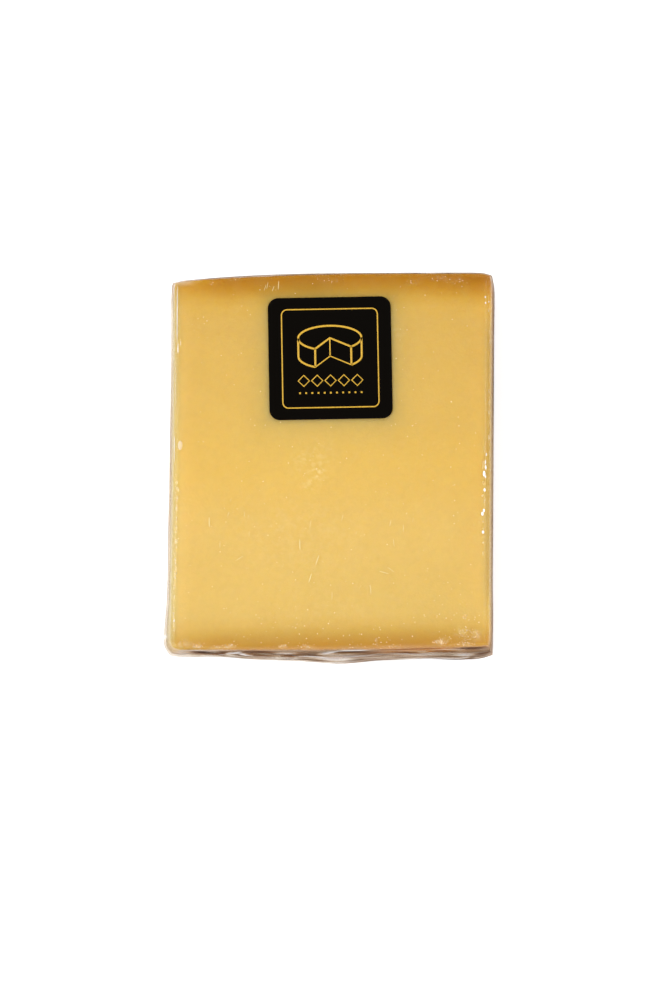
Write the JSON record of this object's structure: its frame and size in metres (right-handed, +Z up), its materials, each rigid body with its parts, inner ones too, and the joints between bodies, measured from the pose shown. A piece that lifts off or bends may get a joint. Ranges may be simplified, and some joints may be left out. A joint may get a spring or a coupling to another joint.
{
  "type": "wrapped slab of hard cheese",
  "caption": "Rectangular slab of pale yellow hard cheese with brown rind on its short sides, sealed in tight clear film, lying flat, with a square black sticker on top.",
  "frame": {"origin": "centre of the underside, on the surface the slab lies on", "axes": "+Z up through the slab's thickness, +Y towards the rind nearer to the sticker, +X along that rind to the right as seen from above"},
  "size_m": [0.0956, 0.1118, 0.0223],
  "materials": {
    "cheese": "pale yellow hard cheese, slightly translucent, satin under its film",
    "rind": "dry brown rind, grainy, pressed flat under the film",
    "film": "clear glossy heat-shrunk film, gathered round the sides",
    "label_black": "black coated paper, satin",
    "label_print": "gold ink"
  },
  "bodies": {
    "root": {"wrapped_cheese": "cheese", "label": "label_black"}
  },
  "joints": []
}
